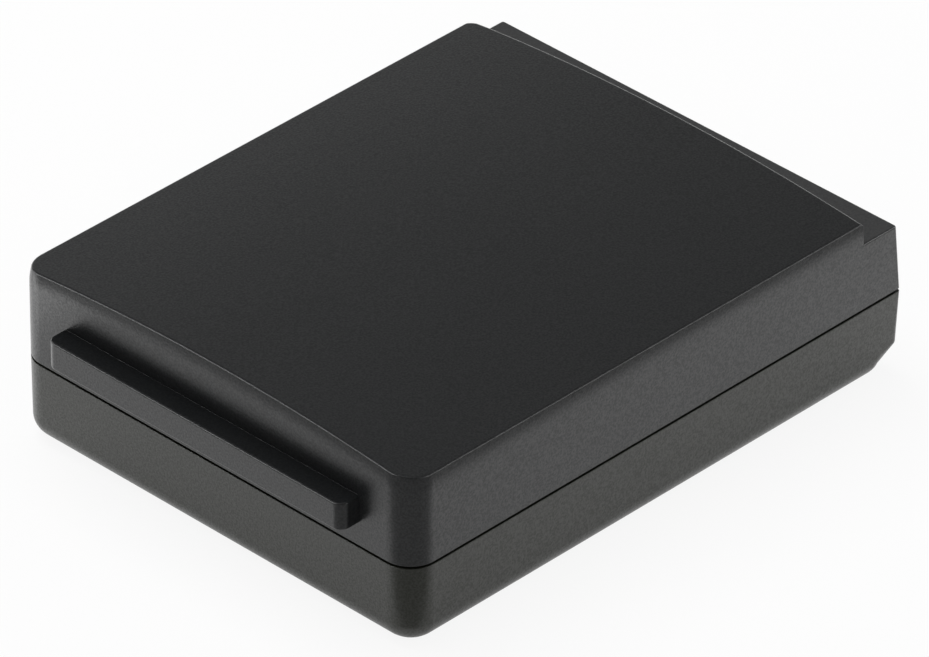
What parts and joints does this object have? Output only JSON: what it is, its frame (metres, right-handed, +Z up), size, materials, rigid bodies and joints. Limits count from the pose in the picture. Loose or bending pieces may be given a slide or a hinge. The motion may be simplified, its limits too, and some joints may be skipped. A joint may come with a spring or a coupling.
{
  "type": "remote control battery",
  "caption": "Rechargeable battery pack for an industrial radio remote control: black two-shell housing with a crowned top, an end rib and a stepped contact end.",
  "frame": {"origin": "middle of the flat underside, halfway along the housing without its end rib and halfway across it", "axes": "+X along the length, from the ribbed end to the contact end; +Y across the width; +Z up to the crowned top"},
  "size_m": [0.0955, 0.0726, 0.028],
  "materials": {
    "shell_upper": "fine moulded texture, satin black",
    "shell_lower": "fine moulded texture, satin black",
    "cell_sleeve": "shrunk sleeve, gloss",
    "washer_paper": "pressed fibre paper",
    "nickel_strip": "rolled nickel",
    "fuse_film": "polymer film wrap",
    "card_paper": "insulating card",
    "foam_pad": "closed-cell foam",
    "carrier_plastic": "moulded, matt",
    "contact_plate": "plated spring sheet",
    "board_laminate": "solder mask over laminate",
    "part_ceramic": "fired body",
    "part_resin": "moulded resin",
    "bead_resin": "dipped resin",
    "lead_red": "insulated stranded lead",
    "lead_black": "insulated stranded lead"
  },
  "bodies": {
    "root": {"upper_shell": "shell_upper", "lower_shell": "shell_lower", "cell_1": "cell_sleeve", "cell_2": "cell_sleeve", "cell_3": "cell_sleeve", "cell_4": "cell_sleeve", "cell_5": "cell_sleeve", "cell_washers": "washer_paper", "strip_1_2": "nickel_strip", "strip_2_3": "nickel_strip", "strip_4_5": "nickel_strip", "resettable_fuse": "fuse_film", "negative_tab": "nickel_strip", "positive_tab": "nickel_strip", "card_left": "card_paper", "card_right": "card_paper", "top_pad": "foam_pad", "end_pad": "foam_pad", "contact_carrier": "carrier_plastic", "contact_positive": "contact_plate", "contact_charge": "contact_plate", "contact_negative": "contact_plate", "circuit_board": "board_laminate", "chip_fuse": "part_ceramic", "charge_diode": "part_resin", "coding_resistor": "part_resin", "thermistor": "bead_resin", "thermistor_leads": "lead_black", "positive_lead": "lead_red", "negative_lead": "lead_black"}
  },
  "joints": []
}
